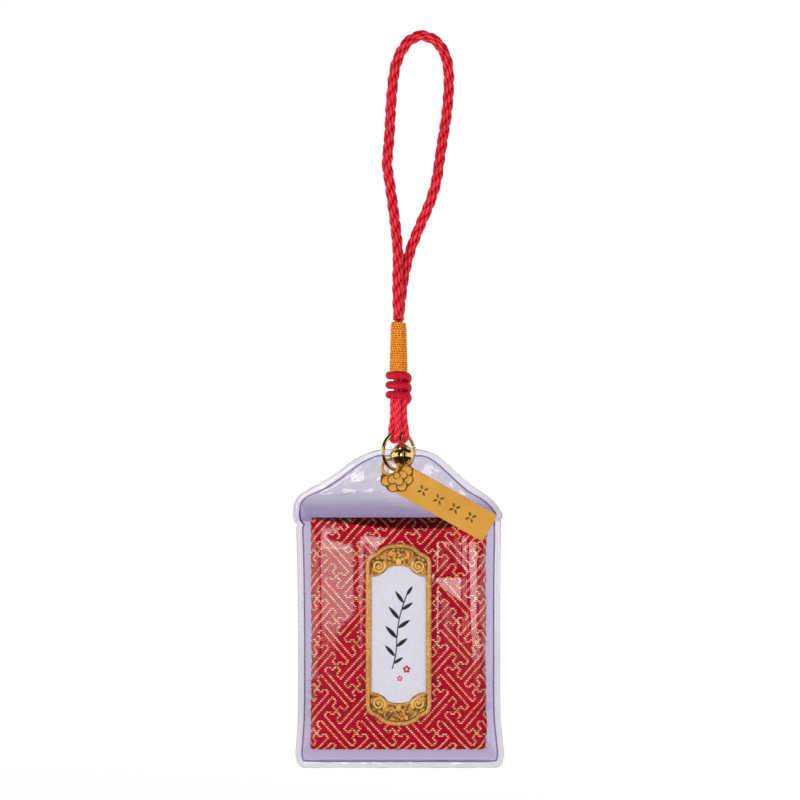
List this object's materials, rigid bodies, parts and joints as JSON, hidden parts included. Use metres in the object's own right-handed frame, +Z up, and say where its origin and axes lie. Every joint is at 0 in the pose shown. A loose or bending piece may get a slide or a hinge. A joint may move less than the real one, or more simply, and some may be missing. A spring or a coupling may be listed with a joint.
{
  "type": "hanging amulet pouch",
  "caption": "Brocade-wrapped amulet packet with a metal plaque in a clear film sleeve, hung from a jump ring on a bound cord loop, with a small bell and a stamped tag.",
  "frame": {"origin": "the hang point, inside the top of the cord loop", "axes": "+Z up along the hanging pouch, +X to the viewer's right, the front with the plaque faces -Y"},
  "size_m": [0.0522, 0.0124, 0.1838],
  "materials": {
    "red_cord": "twisted three-strand satin cord",
    "dark_red_cord": "smooth satin cord",
    "gold_thread": "close-wound silky thread",
    "gold_wire": "gold-plated wire",
    "bell_gold": "polished gold plate",
    "pellet_steel": "plain",
    "tag_gold": "satin gold plate with fine brown lines",
    "clear_film": "clear soft film, welded rim",
    "brocade": "crimson brocade with a gold key-fret weave",
    "wadding": "soft white wadding",
    "board": "plain grey-brown board",
    "paper": "thin uncoated paper",
    "plaque_gold": "antique gold, dark in the recesses",
    "card": "smooth white card"
  },
  "bodies": {
    "cord": {"cord_loop": "red_cord", "cord_bundle": "red_cord", "thread_wrap": "gold_thread", "knot_coil": "dark_red_cord", "tail_left": "red_cord", "tail_right": "red_cord"},
    "ring": {"jump_ring": "gold_wire"},
    "sleeve": {"sleeve_front": "clear_film", "sleeve_back_panel": "clear_film", "sleeve_back_flap": "clear_film"},
    "bell": {"bell_upper_shell": "bell_gold", "bell_lower_shell": "bell_gold", "bell_eye": "gold_wire"},
    "tag": {"tag_plate": "tag_gold"},
    "packet": {"packet_cover_front": "brocade", "packet_cover_back": "brocade", "packet_pad": "wadding", "packet_board": "board", "talisman_slip": "paper", "plaque_frame": "plaque_gold", "plaque_card": "card"},
    "pellet": {"bell_pellet": "pellet_steel"}
  },
  "joints": [
    {"name": "ring_swing", "type": "hinge", "parent": "cord", "child": "ring", "pos_m": [-0.0056, 0, -0.09844], "axis": [0.8192, 0.5736, 0], "range_deg": [-45, 45]},
    {"name": "sleeve_rock", "type": "hinge", "parent": "ring", "child": "sleeve", "pos_m": [-0.0056, 0, -0.10727], "axis": [0, 1, 0], "range_deg": [-15, 15]},
    {"name": "bell_swing", "type": "hinge", "parent": "ring", "child": "bell", "pos_m": [-0.0056, 0, -0.09787], "axis": [-0.9816, -0.1908, 0], "range_deg": [0, 25]},
    {"name": "tag_swing", "type": "hinge", "parent": "ring", "child": "tag", "pos_m": [-0.00774, -0.0015, -0.10648], "axis": [0.0963, 0.9633, -0.2505], "range_deg": [0, 61]},
    {"name": "packet_slide", "type": "slide", "parent": "sleeve", "child": "packet", "axis": [0, 0, 1], "range_m": [0, 0.002]},
    {"name": "pellet_rattle", "type": "slide", "parent": "bell", "child": "pellet", "axis": [-0.1241, 0.6383, 0.7597], "range_m": [0, 0.0026]}
  ]
}
